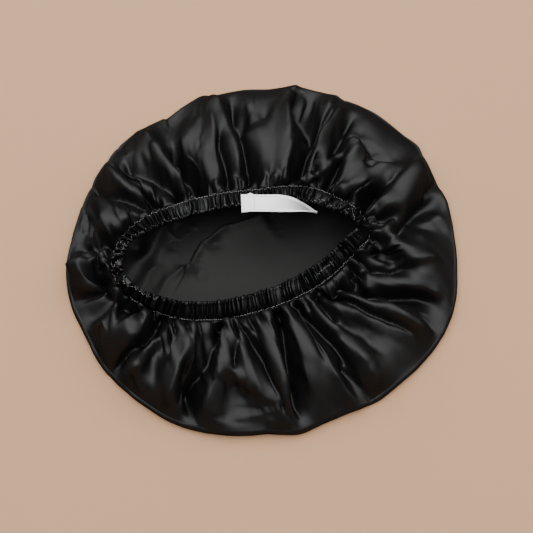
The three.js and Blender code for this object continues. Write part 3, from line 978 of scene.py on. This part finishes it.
@dataclass
class Crown:
    """The satin crown: one cloth, folded over into a puffed ring."""

    shape: CrownShape
    settling: Settling = field(default_factory=Settling)
    columns: int = 576
    wall: float = 0.0006  # the satin's thickness
    cloth_radius: float = 0.285  # of the flat cloth
    near_rows: float = 0.15  # how far out the close rows at the seam reach
    edge_rows: float = 0.10  # how far in those at the lip do
    stands: float = 0.042  # height up to which a fold keeps its shape
    slack: float = 0.010  # the most that a fold stands above that

    def rows(self) -> tuple[Array, Array, Array]:
        """Row stations: out over the top, roll under the edge, and share over the floor.

        They lie closest near the seam and the lip. On the floor they are few outside the
        mouth's line, where nothing shows, and close inside it.
        """
        near, edge = self.near_rows, 1.0 - self.edge_rows
        top = [
            np.linspace(0.0, near, 15)[:-1],
            np.linspace(near, edge, 34)[:-1],
            1.0 - np.linspace(math.sqrt(self.edge_rows), 0.0, 10) ** 2,
        ]
        roll = np.linspace(0.0, 1.0, 9)[1:]
        floor = [np.linspace(1.0, 0.5, 6)[1:-1], np.linspace(0.5, 0.0, 35)[:-1]]
        return np.concatenate(top), roll, np.concatenate(floor)

    def build(self) -> bpy.types.Object:
        """The cloth as rings from the seam out, under, and in to the middle.

        Returns:
            The object, a single layer with Solidify for its wall.
        """
        top_rows, roll_rows, floor_rows = self.rows()
        turns = self.shape.plan.turn_at_length(self.columns)
        turn, out = np.meshgrid(turns, top_rows)
        top = self.shape.top(turn, out)
        loops = self.shape.gather_lift(turn, out)
        # The cloth settles most along folds and near the seam, and least on smooth panels.
        near_seam = 0.4 * bump(out, 0.0, 0.12)
        creased = np.maximum(np.clip(self.shape.creased(turn, out), 0.0, 1.0), near_seam)
        lively = read_ring(ring_curve(LIVELY_ROWS, 4.0), turn)
        creased = (0.12 + 0.88 * creased) * (1.0 - self.shape.calm(turn, out)) * lively
        turn, roll = np.meshgrid(turns, roll_rows)
        under = self.shape.under(turn, roll)
        turn, share = np.meshgrid(turns[::2], floor_rows)
        floor = self.shape.floor(turn, share)
        still = np.zeros(roll.shape)
        creased, loops = np.concatenate([creased, still]), np.concatenate([loops, still])
        wide = np.concatenate([top, under])
        wide = self.settling.run(wide, loops, np.concatenate([top_rows, 1.0 + roll_rows]), creased)
        wide[..., 2] = self.slump(wide[..., 2])
        middle = [[FLOOR_MIDDLE[0] * MM, FLOOR_MIDDLE[1] * MM, 0.0]]
        points = np.concatenate([wide.reshape(-1, 3), floor.reshape(-1, 3), middle])
        points[-1, 2] = self.shape.floor_lift(points[-1:, 0], points[-1:, 1])[0]
        faces = self.faces(len(wide), len(floor))
        made = make_mesh("crown_cloth", points, faces, points[:, :2] / self.cloth_radius)
        wall = made.modifiers.new("wall", "SOLIDIFY")
        wall.thickness = self.wall
        wall.offset = -1.0
        wall.use_rim = True
        wall.material_offset = 1
        wall.material_offset_rim = 0
        LOG.info("crown: %d points", len(points))
        return made

    def faces(self, wide: int, floor: int) -> list[Array]:
        """Faces of the cloth: quads, and triangles where the floor halves the columns and closes.

        Args:
            wide: how many rings have every column.
            floor: how many rings have every second column.

        Returns:
            Arrays of faces. The cloth's outer side looks up on top, out at the rim and down below.
        """
        half = self.columns // 2
        first = wide * self.columns
        last = first - self.columns
        coarse = np.arange(half)
        fine, fine_next = last + 2 * coarse, last + (2 * coarse + 2) % self.columns
        here, after = first + coarse, first + (coarse + 1) % half
        corners = ((fine, here, fine + 1), (fine + 1, here, after), (fine + 1, after, fine_next))
        joint = np.concatenate([np.stack(three, -1) for three in corners])
        inner = first + (floor - 1) * half
        centre = np.full(half, inner + half)
        cap = np.stack([inner + coarse, centre, inner + (coarse + 1) % half], -1)
        above = ring_faces(wide, self.columns)[:, ::-1]
        return [above, joint, ring_faces(floor, half, first)[:, ::-1], cap]

    def slump(self, height: Array) -> Array:
        """Heights with the tallest folds sunk under their own weight: the excess levels off."""
        over = np.maximum(height - self.stands, 0.0)
        return np.minimum(height, self.stands) + self.slack * (1.0 - np.exp(-over / self.slack))

    def dress(
        self, made: bpy.types.Object, right: bpy.types.Material, wrong: bpy.types.Material
    ) -> None:
        made.data.materials.append(right)
        made.data.materials.append(wrong)
        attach(made, "root")
        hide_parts("crown")


# ---- band ------------------------------------------------------------------------------------
RISE_ROWS = (  # turn in degrees, how steeply the band stands from its seam, in degrees
    (0, 50), (15, 50), (35, 30), (60, 16), (90, 13), (120, 10), (140, 16), (160, 42), (180, 54),
    (200, 64), (225, 68), (245, 52), (262, 38), (290, 28), (320, 30), (345, 42),
)  # fmt: skip
PITCH_ROWS = (  # turn in degrees, how wide the band's gathers are there, against the narrowest
    (0, 1.7), (20, 1.9), (35, 1.5), (50, 1.15), (80, 1.0), (110, 1.0), (135, 1.1), (155, 1.4),
    (175, 1.9), (200, 2.0), (220, 1.7), (240, 1.25), (262, 1.1), (290, 1.0), (320, 1.0), (340, 1.3),
)  # fmt: skip


@dataclass
class Band:
    """The elastic casing: a flat tube round the mouth, gathered crosswise all round."""

    plan: Plan
    seam: float = SEAM_HEIGHT
    width: float = 0.0172
    thick: float = 0.0034
    gathers: int = 114
    columns: int = 1800
    sides: int = 22
    gap: float = 0.0004  # between the seam and the casing
    hem: float = 0.0012  # how much the folded free edge stands up
    lift: float = 0.0056  # of a gather, before its own height
    lean: float = 3.4  # how far gathers lean over the band's width, in degrees of turn
    curl: float = 1.5  # how far they bow, in degrees of turn

    def rise(self, turn: Array) -> Array:
        """Slope of the band: steeper at the mouth's two ends, in radians."""
        return np.radians(read_ring(ring_curve(RISE_ROWS, 3.0), turn))

    def ruffle(self, turn: Array, across: Array) -> tuple[Array, Array, Array]:
        """Lift, scallop and sideways sway of the gathers.

        Each gather is a tent: with s 0 at its middle and 1 at its sides, its lift falls as
        1.02^0.65 - (s^2 + 0.02)^0.65, so it ends level with the next, and a smaller sine pinches
        it. It leans and bows over the band's width and is calm at the seam's stitches. The free
        edge scallops with the same gathers, and the band sways with them in S bends. Scallops
        and sway are larger at the mouth's two ends.

        Args:
            turn: degrees, on a grid.
            across: 0 at the seam, 1 at the free edge, on the same grid.

        Returns:
            The lift, the scallop and the sway, in metres.
        """
        steps = uneven_steps(self.gathers, spread=0.7, seed=31)
        rng = np.random.default_rng(8)
        lean = self.lean * read_ring(self.random_ring(rng, step=5, blur=1.5), turn)
        curl = self.curl * read_ring(self.random_ring(rng, step=4, blur=1.0), turn)
        shift = lean * (across - 0.5) + curl * np.sin(math.pi * across)
        number, place = pleat_place(steps, self.gather_turn(turn) + shift)
        height = rng.uniform(0.5, 1.6, self.gathers)[number]
        tent = 1.02**0.65 - ((2.0 * place - 1.0) ** 2 + 0.02) ** 0.65
        pinch = rng.uniform(-math.pi, math.pi, self.gathers)[number]
        tent = tent + 0.16 * np.sin(4.0 * math.pi * place + pinch) * np.sin(math.pi * place)
        loop = height * tent - 0.46
        calm = 0.20 + 0.80 * smooth(across / 0.35)
        ends = read_ring(ring_curve(PITCH_ROWS, 3.0), turn) - 1.0
        sway = np.sin(2.0 * math.pi * place + 2.6 * across) * smooth(across / 0.4)
        sway = (0.5 + 0.6 * ends) * MM * sway
        return self.lift * loop * calm, (1.6 + 2.8 * ends) * MM * loop, sway

    def random_ring(self, rng: np.random.Generator, step: int, blur: float) -> Array:
        """A smooth closed curve through a random value from -1 to 1 at every step degrees."""
        turns = np.arange(0, 360, step)
        return ring_curve(tuple(zip(turns, rng.uniform(-1, 1, len(turns)))), blur)

    def gather_turn(self, turn: Array) -> Array:
        """A turn that runs on evenly from gather to gather: length along the seam over pitch."""
        fine = np.arange(0, 361, 0.5)
        line = self.plan.mouth(fine)
        pitch = read_ring(ring_curve(PITCH_ROWS, 3.0), fine)
        gone = np.cumsum(np.append(0.0, np.linalg.norm(np.diff(line, axis=0), axis=1) / pitch[1:]))
        return np.interp(np.mod(turn, 360.0), fine, gone * 360.0 / gone[-1])

    def frame_at(self, turn: Array) -> tuple[Array, Array, Array]:
        """The seam point, the direction up the band, and the band's own upward normal.

        Args:
            turn: degrees.

        Returns:
            Three arrays of vectors.
        """
        start = self.plan.mouth(turn)
        outward = self.plan.mouth_outward(turn)
        rise = self.rise(turn)[..., None]
        z = np.ones(turn.shape)[..., None]
        origin = np.concatenate([start, self.seam * z], -1)
        up = np.concatenate([-outward * np.cos(rise), np.sin(rise)], -1)
        normal = np.concatenate([outward * np.sin(rise), np.cos(rise)], -1)
        return origin, up, normal

    def surface(self, turn: Array, across: Array, level: Array) -> Array:
        """A point of the casing.

        Args:
            turn: degrees, on a grid.
            across: 0 at the seam, 1 at the free edge.
            level: -1 underneath, 1 on top.

        Returns:
            Points, one more axis of 3.
        """
        origin, up, normal = self.frame_at(turn)
        lift, scallop, sway = self.ruffle(turn, across)
        beside = np.cross(normal, up)
        dome = 0.9 * MM * np.sin(math.pi * np.clip(across, 0, 1))
        dome = dome + self.hem * bump(across, 0.92, 0.06)
        along = self.gap + across * self.width + scallop * smooth((across - 0.55) / 0.45)
        through = level * 0.5 * self.thick + lift * (0.6 + 0.4 * level) + dome
        along, through, sway = along[..., None], through[..., None], sway[..., None]
        return origin + up * along + normal * through + beside * sway

    def build(self) -> bpy.types.Object:
        """The casing as a closed tube."""
        turns = self.plan.turn_at_length(self.columns)
        angle = np.arange(self.sides) * 2 * math.pi / self.sides
        across = 0.5 - 0.5 * np.sign(np.cos(angle)) * np.abs(np.cos(angle)) ** 0.8
        level = np.sign(np.sin(angle)) * np.abs(np.sin(angle)) ** 0.55
        turn, across = np.meshgrid(turns, across)
        level = np.broadcast_to(level[:, None], turn.shape)
        points = self.surface(turn, across, level).reshape(-1, 3)
        # The ring after the last is the first again.
        faces = ring_faces(self.sides + 1, self.columns) % len(points)
        uv = np.stack([turn.ravel() / 360.0, across.ravel()], -1)
        LOG.info("band: %d points", len(points))
        return make_mesh("band_casing", points, [faces], uv)

    def dress(self, made: bpy.types.Object, cloth: bpy.types.Material) -> None:
        """Gives the casing its cloth and puts it in the place of its solid."""
        made.data.materials.append(cloth)
        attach(made, "root")
        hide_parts("band")


# ---- stitches --------------------------------------------------------------------------------
@dataclass
class Stitching:
    """Rows of short thread stitches along the casing."""

    band: Band
    length: float = 0.0019
    pitch: float = 0.0025
    thread: float = 0.00022  # the thread's radius
    around: int = 6  # points round a stitch
    along: int = 5  # rings along it

    def row(self, start: float, end: float, across: float, seed: int, keep: float = 1.0) -> Array:
        """Stitches along the casing at one distance from its seam.

        Args:
            start: first turn.
            end: last turn.
            across: 0 at the seam, 1 at the free edge.
            seed: seed of the small differences between stitches.
            keep: share of the stitches that show.

        Returns:
            (stitches, rings, points round, 3) points.
        """
        fine = np.linspace(start, end, FINE)
        gone = gone_along(self.band.surface(fine, np.full(FINE, across), np.ones(FINE)))
        count = int(gone[-1] / self.pitch)
        rng = np.random.default_rng(seed)
        centre = (np.arange(count) + 0.5) * self.pitch + rng.uniform(-0.2, 0.2, count) * MM
        centre = centre[rng.uniform(0, 1, count) < keep][:, None]
        share = np.linspace(-0.5, 0.5, self.along)
        at = centre + share * self.length * rng.uniform(0.85, 1.15, centre.shape)
        turn = np.interp(at, gone, fine)
        shift = rng.uniform(-0.012, 0.012, centre.shape)
        shift = shift + rng.uniform(-0.02, 0.02, centre.shape) * share
        spine = self.band.surface(turn, across + shift, np.ones(turn.shape))
        _, up, normal = self.band.frame_at(turn)
        return self.tubes(spine, up, normal)

    def tubes(self, spine: Array, side: Array, normal: Array) -> Array:
        """Stitches round their spines: rings bowed up in the middle and narrow at both ends.

        Args:
            spine: (stitches, rings, 3) points.
            side: unit vectors across each stitch.
            normal: unit vectors off the cloth.

        Returns:
            (stitches, rings, points round, 3) points.
        """
        share = np.linspace(-0.5, 0.5, self.along)
        spine = spine + normal * ((0.5 - 2.2 * share**2)[None, :, None] * self.thread)
        angle = (np.arange(self.around) * 2.0 * math.pi / self.around)[:, None]
        taper = np.sqrt(np.clip(1.0 - (2.0 * np.abs(share)) ** 4, 0.05, 1.0))
        ring = side[:, :, None] * np.cos(angle) + normal[:, :, None] * np.sin(angle)
        return spine[:, :, None] + ring * self.thread * taper[None, :, None, None]

    def build(self, name: str, rows: list[Array]) -> bpy.types.Object:
        """One object with every stitch of several rows.

        Args:
            name: the object's name.
            rows: arrays from row or from a label.

        Returns:
            The object.
        """
        stitches = np.concatenate(rows)
        count = len(stitches)
        quads = ring_faces(self.along, self.around)
        ends = np.arange(self.around)
        ends = np.array([ends[::-1], (self.along - 1) * self.around + ends])
        start = (np.arange(count) * self.along * self.around)[:, None, None]
        faces = [(part + start).reshape(-1, part.shape[1]) for part in (quads, ends)]
        LOG.info("%s: %d stitches", name, count)
        return make_mesh(name, stitches.reshape(-1, 3), faces)


# ---- label -----------------------------------------------------------------------------------
@dataclass
class Label:
    """A blank ribbon folded double, sewn to the band at one end and twisting at the other."""

    corner: tuple[float, float, float] = (-0.018, 0.0207, 0.0446)  # the sewn end of the fold
    length: float = 0.0666
    width: float = 0.0165
    thick: float = 0.0004  # of one layer
    between: float = 0.0009  # from layer to layer at the open edge
    lift: float = 0.005  # how much higher the free end is
    hem: float = 0.0004  # how much the doubled edges stand up
    twist: float = -68.0  # of the free end, in degrees
    back_share: float = 0.90  # how much of the twist the back layer takes
    steps: int = 28  # points across each face
    stations: int = 90  # rings along it
    stitch_pitch: float = 0.0021

    def surface(self, along: Array, across: Array, level: Array, back: float) -> Array:
        """A point of the ribbon: it twists about its folded edge at the mouth's side.

        The twist grows as ((along - 0.45) / 0.55)^1.6. The ribbon bows up a little across where
        it is flat and down where it twists, its hems stand up, and a nub of the fold shows near
        the sewn end.

        Args:
            along: 0 at the sewn end, 1 at the free end.
            across: 0 at the folded edge, 1 at the open edge.
            level: -1 underneath, 1 on top.
            back: 0 for the front layer, 1 for the back one.

        Returns:
            Points, one more axis of 3.
        """
        share = 1.0 - (1.0 - self.back_share) * back
        twist = np.radians(self.twist * share) * np.clip((along - 0.45) / 0.55, 0.0, 1.0) ** 1.6
        arch = np.sin(math.pi * np.clip(across, 0, 1))
        bow = 0.0006 * arch + 0.0003 * np.sin(9.0 * along + 2.0 * across)
        bow = bow - 0.0012 * arch * smooth((along - 0.45) / 0.4)
        bow = bow + self.hem * (1.0 - smooth((np.minimum(across, 1.0 - across) - 0.09) / 0.03))
        y = across * self.width - 0.0007 * (1 - smooth(along / 0.16)) * (1 - smooth(across / 0.3))
        y = y + 0.0016 * bump(along, 0.125, 0.03) * smooth((across - 0.85) / 0.15)
        z = level * 0.5 * self.thick + bow - back * self.between * smooth(across / 0.12)
        lift = self.lift * along
        x = along * self.length + 0.0008 * (1 - across) * (1 - smooth(along / 0.2))
        turned = (y * np.cos(twist) - z * np.sin(twist), y * np.sin(twist) + z * np.cos(twist))
        start_x, start_y, start_z = self.corner
        points = (start_x + x, start_y - 0.5 * lift + turned[0], start_z + lift + turned[1])
        return np.stack(points, -1)

    def build(self) -> bpy.types.Object:
        """The two layers, joined along the fold, as one closed strip."""
        out, home = np.linspace(0, 1, self.steps), np.linspace(1, 0, self.steps)
        loop_across = np.concatenate([home, out, home, out])
        loop_level = np.repeat([1.0, -1.0, 1.0, -1.0], self.steps)
        loop_back = np.repeat([0.0, 1.0, 1.0, 0.0], self.steps)
        # Front top going in, back underside going out, back top in, front underside out.
        stations = np.linspace(0, 1, self.stations)
        along, across = np.meshgrid(stations, loop_across, indexing="ij")
        level = np.broadcast_to(loop_level, along.shape)
        back = np.broadcast_to(loop_back, along.shape)
        points = self.surface(along, across, level, back).reshape(-1, 3)
        count = len(loop_across)
        faces = ring_faces(self.stations, count)
        strip = np.arange(self.steps - 1)[:, None]
        pairs = []
        for start, far in ((0, 4 * self.steps - 1), (self.steps, 3 * self.steps - 1)):
            near_side, far_side = start + strip, far - strip
            pairs.append(np.concatenate([near_side, near_side + 1, far_side - 1, far_side], -1))
        caps = np.concatenate(pairs)
        last = (self.stations - 1) * count
        flat = across * self.width * np.where(back > 0.5, -1.0, 1.0)
        uv = np.stack([along.ravel() * self.length, flat.ravel()], -1)
        return make_mesh("label_ribbon", points, [faces, caps[:, ::-1], caps + last], uv)

    def stitches(self, stitching: Stitching) -> Array:
        """The rows of small stitches round the ribbon's edge and across its sewn end.

        Args:
            stitching: what makes a stitch from its spine.

        Returns:
            (stitches, rings, points round, 3) points.
        """
        edges = (  # from and to along the ribbon, from and to across it
            (0.03, 0.97, 0.09, 0.09), (0.03, 0.93, 0.90, 0.90),
            (0.025, 0.04, 0.1, 0.9), (0.18, 0.18, 0.1, 0.9),
        )  # fmt: skip
        step = 1e-3
        rows = []
        for from_along, to_along, from_across, to_across in edges:
            long, wide = to_along - from_along, to_across - from_across
            count = int(math.hypot(long * self.length, wide * self.width) / self.stitch_pitch)
            at = np.arange(count)[:, None] + 0.5 + np.linspace(-0.25, 0.25, stitching.along)
            at = at / count
            along, across, top = from_along + long * at, from_across + wide * at, np.ones(at.shape)
            spine = self.surface(along, across, top, 0.0)
            over = (along + step, across) if wide else (along, across + step)
            side = unit(self.surface(*over, top, 0.0) - spine)
            normal = unit(np.cross(unit(np.gradient(spine, axis=1)), side))
            normal = normal * np.where(normal[..., 2:] < 0, -1.0, 1.0)
            rows.append(stitching.tubes(spine, side, normal))
        return np.concatenate(rows)


# ---- finishes --------------------------------------------------------------------------------
class Socket:
    """An output socket with arithmetic: an expression on it adds its Math nodes."""

    def __init__(self, tree: "NodeTree", socket: Any) -> None:
        """Wraps the socket of a node in the tree."""
        self.tree = tree
        self.socket = socket

    def __add__(self, other: "Socket | float") -> "Socket":
        """Self plus other."""
        return self.tree.add("ShaderNodeMath", {"operation": "ADD"}, {0: self, 1: other})

    def __mul__(self, other: "Socket | float") -> "Socket":
        """Self times other."""
        return self.tree.add("ShaderNodeMath", {"operation": "MULTIPLY"}, {0: self, 1: other})


class NodeTree:
    """A material's nodes."""

    def __init__(self, name: str) -> None:
        """Starts a material with no nodes."""
        self.material = bpy.data.materials.new(name)
        self.material.use_nodes = True
        self.material.node_tree.nodes.clear()

    def add(
        self, kind: str, settings: dict[str, Any], sockets: dict[str | int, Any], out: str | int = 0
    ) -> Socket:
        """Adds a node.

        Args:
            kind: the node's type.
            settings: its properties, set before the sockets.
            sockets: values or Sockets for its inputs, by name or number.
            out: which output to return.

        Returns:
            The wrapped output.
        """
        node = self.material.node_tree.nodes.new(kind)
        for key, value in settings.items():
            setattr(node, key, value)
        for key, value in sockets.items():
            if isinstance(value, Socket):
                self.material.node_tree.links.new(value.socket, node.inputs[key])
            else:
                node.inputs[key].default_value = value
        return Socket(self, node.outputs[out])

    def noise(self, place: Socket, scale: float, detail: float, roughness: float = 0.5) -> Socket:
        """Cloudy noise, about 0 to 1."""
        sockets = {"Vector": place, "Scale": scale, "Detail": detail, "Roughness": roughness}
        return self.add("ShaderNodeTexNoise", {}, sockets)

    def mix(self, share: Socket, first: Color | Socket, second: Color) -> Socket:
        """The first colour where share is 0, the second where it is 1."""
        first = first if isinstance(first, Socket) else (*first, 1.0)
        sockets = {0: share, 6: first, 7: (*second, 1.0)}
        return self.add("ShaderNodeMix", {"data_type": "RGBA"}, sockets, 2)

    def ease(self, value: Socket, start: float, end: float) -> Socket:
        """Smoothstep of the value: 0 at start, 1 at end."""
        sockets = {"Value": value, "From Min": start, "From Max": end}
        return self.add("ShaderNodeMapRange", {"interpolation_type": "SMOOTHSTEP"}, sockets)

    def finish(self, sockets: dict[str | int, Any]) -> bpy.types.Material:
        """Ends with the one shader and the material's output, and returns the material."""
        shader = self.add("ShaderNodeBsdfPrincipled", {}, sockets)
        node = self.material.node_tree.nodes.new("ShaderNodeOutputMaterial")
        self.material.node_tree.links.new(shader.socket, node.inputs["Surface"])
        return self.material


@dataclass(frozen=True)
class Satin:
    """Satin weave: smooth floats that gloss softly, over a faint fine weave."""

    name: str
    color: Color
    roughness: float
    specular: float
    metal: float
    edge: float  # how light the gloss is at a grazing view, 0 to 1
    weave: float  # how deep the fine weave looks

    def material(self) -> bpy.types.Material:
        """Builds the finish."""
        tree = NodeTree(self.name)
        place = tree.add("ShaderNodeTexCoord", {}, {}, "Object")
        cloud = tree.noise(place, 30.0, 3.0, 0.55)
        fine = tree.noise(place, 1300.0, 2.0)
        relief = {"Height": fine, "Strength": self.weave, "Distance": 0.0003}
        sockets = {
            "Base Color": tree.mix(cloud, tuple(c * 0.86 for c in self.color), self.color),
            "Roughness": cloud * 0.10 + (self.roughness - 0.05),
            "Metallic": self.metal,
            "Specular IOR Level": self.specular,
            "Specular Tint": (self.edge, self.edge, self.edge, 1.0),
            "Normal": tree.add("ShaderNodeBump", {}, relief),
        }
        return tree.finish(sockets)


@dataclass(frozen=True)
class Ribbon:
    """Thin white satin ribbon: opaque along its hems; between them it darkens towards the free end,
    partly as a see-through single layer and partly as painted shade, and its back layer carries a
    painted shadow.
    """

    name: str
    length: float
    width: float
    opaque: Color = (0.93, 0.93, 0.94)
    # painted shade, partly see-through, between the hems towards the free end
    see_through_and_painted_shade: Color = (0.20, 0.20, 0.21)
    # painted shadow on the back layer
    painted_shadow_back: Color = (0.60, 0.60, 0.61)
    roughness: float = 0.38

    def material(self) -> bpy.types.Material:
        """Builds the finish: between the hems it darkens where the ribbon leaves the band and hangs
        free, partly as a see-through layer and partly as painted shade.
        """
        tree = NodeTree(self.name)
        place = tree.add("ShaderNodeUVMap", {"uv_map": "cloth"}, {})
        x = tree.add("ShaderNodeSeparateXYZ", {}, {"Vector": place}, "X")
        y = tree.add("ShaderNodeSeparateXYZ", {}, {"Vector": place}, "Y")
        along = tree.ease(x, 0.30 * self.length, 0.95 * self.length)
        near = tree.ease(y, 0.09 * self.width, 0.22 * self.width)
        far = tree.ease(y, 0.91 * self.width, 0.78 * self.width)
        # Painted shade, partly see-through: between the hems the colour darkens towards the free end.
        color = tree.mix(along * near * far, self.opaque, self.see_through_and_painted_shade)
        # The back layer's y runs below 0; there the colour is darkened as a painted shadow.
        back_layer_shadow_mask = tree.ease(y, -0.1 * self.width, -0.2 * self.width)
        color = tree.mix(back_layer_shadow_mask, color, self.painted_shadow_back)
        return tree.finish({"Base Color": color, "Roughness": self.roughness})


@dataclass(frozen=True)
class Plain:
    """A plain finish with a faint mottle: thread or the surface below."""

    name: str
    color: Color
    roughness: float
    mottle: float = 0.04
    scale: float = 60.0

    def material(self) -> bpy.types.Material:
        """Builds the finish."""
        tree = NodeTree(self.name)
        cloud = tree.noise(tree.add("ShaderNodeTexCoord", {}, {}, "Object"), self.scale, 4.0)
        dark = tuple(c * (1 - self.mottle) for c in self.color)
        color = tree.mix(cloud, dark, self.color)
        return tree.finish({"Base Color": color, "Roughness": self.roughness})


# ---- studio ----------------------------------------------------------------------------------
class Light(NamedTuple):
    """A square soft light that points at the origin."""

    name: str
    place: tuple[float, float, float]
    size: float
    watts: float


LIGHTS = (
    Light("key", (0.0, 0.22, 1.6), 3.2, 112.0),
    Light("back", (-0.6, 2.2, 1.1), 1.6, 12.0),
    Light("left", (-2.2, 1.0, 0.75), 1.4, 16.0),
    Light("right", (2.2, 0.3, 1.1), 1.6, 15.0),
)


@dataclass
class Studio:
    """The surface below, the light and the camera."""

    elevation: float = 68.0  # of the camera, in degrees above the horizon
    distance: float = 0.91824
    target: tuple[float, float, float] = (0.0045, -0.0189, 0.015)
    lens: float = 70.0
    sensor: float = 36.0  # the sensor's width in mm
    floor_reach: float = 20.0
    floor_height: float = -0.0003
    ambient: Color = (0.93, 0.93, 0.95)
    ambient_strength: float = 0.015

    def floor(self) -> None:
        """A plain warm surface, just under the bonnet."""
        corners = ((-1, -1), (1, -1), (1, 1), (-1, 1))
        reach, height = self.floor_reach, self.floor_height
        points = np.array([[x * reach, y * reach, height] for x, y in corners])
        made = make_mesh("floor", points, [np.array([[0, 1, 2, 3]])])
        finish = Plain("plain_floor", (0.445, 0.258, 0.142), 0.8, mottle=0.03, scale=7.0)
        made.data.materials.append(finish.material())

    def stand(self, name: str, data: bpy.types.ID, place: Any, away: Any) -> bpy.types.Object:
        """Puts a light or a camera at a place, looking against the direction away."""
        made = bpy.data.objects.new(name, data)
        bpy.context.scene.collection.objects.link(made)
        made.location = place
        made.rotation_mode = "QUATERNION"
        made.rotation_quaternion = Vector(away).to_track_quat("Z", "Y")
        return made

    def light(self, one: Light) -> None:
        """Makes one light."""
        data = bpy.data.lights.new(one.name, "AREA")
        data.shape, data.size, data.energy = "SQUARE", one.size, one.watts
        self.stand(one.name, data, one.place, one.place)

    def camera(self) -> None:
        """The camera: elevation above the horizon, looking along +Y."""
        angle = math.radians(self.elevation)
        back = Vector((0.0, -math.cos(angle), math.sin(angle)))
        data = bpy.data.cameras.new("camera")
        data.lens, data.sensor_width, data.clip_start = self.lens, self.sensor, 0.05
        place = Vector(self.target) + back * self.distance
        bpy.context.scene.camera = self.stand("camera", data, place, back)

    def build(self) -> None:
        """Makes all of it."""
        self.floor()
        world = bpy.data.worlds.new("studio")
        bpy.context.scene.world = world
        world.use_nodes = True
        shade = world.node_tree.nodes["Background"]
        shade.inputs["Color"].default_value = (*self.ambient, 1.0)
        shade.inputs["Strength"].default_value = self.ambient_strength
        for one in LIGHTS:
            self.light(one)
        self.camera()


def main() -> None:
    """Builds every piece in order."""
    logging.basicConfig(level=logging.INFO, format="%(name)s: %(message)s")
    plan = Plan()
    satin = Satin("black_satin", (0.031, 0.0311, 0.0313), 0.49, 0.2, 0.92, 0.10, 0.45).material()
    wrong_side = Satin(
        "black_satin_wrong_side", (0.0205, 0.0201, 0.0198), 0.54, 0.3, 0.6, 0.25, 0.7
    ).material()
    casing = Satin("black_casing", (0.038, 0.0384, 0.039), 0.40, 0.2, 0.92, 0.10, 0.25).material()
    thread = Plain("grey_thread", (0.26, 0.26, 0.26), 0.5).material()
    faint = Plain("label_thread", (0.14, 0.14, 0.145), 0.5).material()

    crown = Crown(CrownShape(plan))
    crown_cloth = crown.build()
    band = Band(plan)
    band_casing = band.build()
    band.dress(band_casing, casing)
    crown.dress(crown_cloth, satin, wrong_side)

    stitching = Stitching(band)
    seam_stitches = stitching.build("seam_stitches", [stitching.row(0.0, 360.0, 0.06, seed=1)])
    seam_stitches.data.materials.append(thread)
    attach(seam_stitches, "root")
    edge_rows = [
        stitching.row(15.0, 235.0, 0.94, seed=5, keep=0.7),
        stitching.row(160.0, 205.0, 0.55, seed=2, keep=0.6),
        stitching.row(20.0, 62.0, 0.72, seed=3, keep=0.5),
        stitching.row(317.0, 331.0, 0.62, seed=4, keep=0.8),
    ]
    edge_stitches = stitching.build("edge_stitches", edge_rows)
    edge_stitches.data.materials.append(thread)
    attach(edge_stitches, "root")

    label = Label()
    ribbon = Ribbon("white_ribbon", label.length, label.width).material()
    label_ribbon = label.build()
    label_ribbon.data.materials.append(ribbon)
    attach(label_ribbon, "root")
    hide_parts("label")
    2 * label.width
    label_stitches = stitching.build("label_stitches", [label.stitches(stitching)])
    label_stitches.data.materials.append(faint)
    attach(label_stitches, "root")

    Studio().build()


if __name__ == "__main__":
    main()
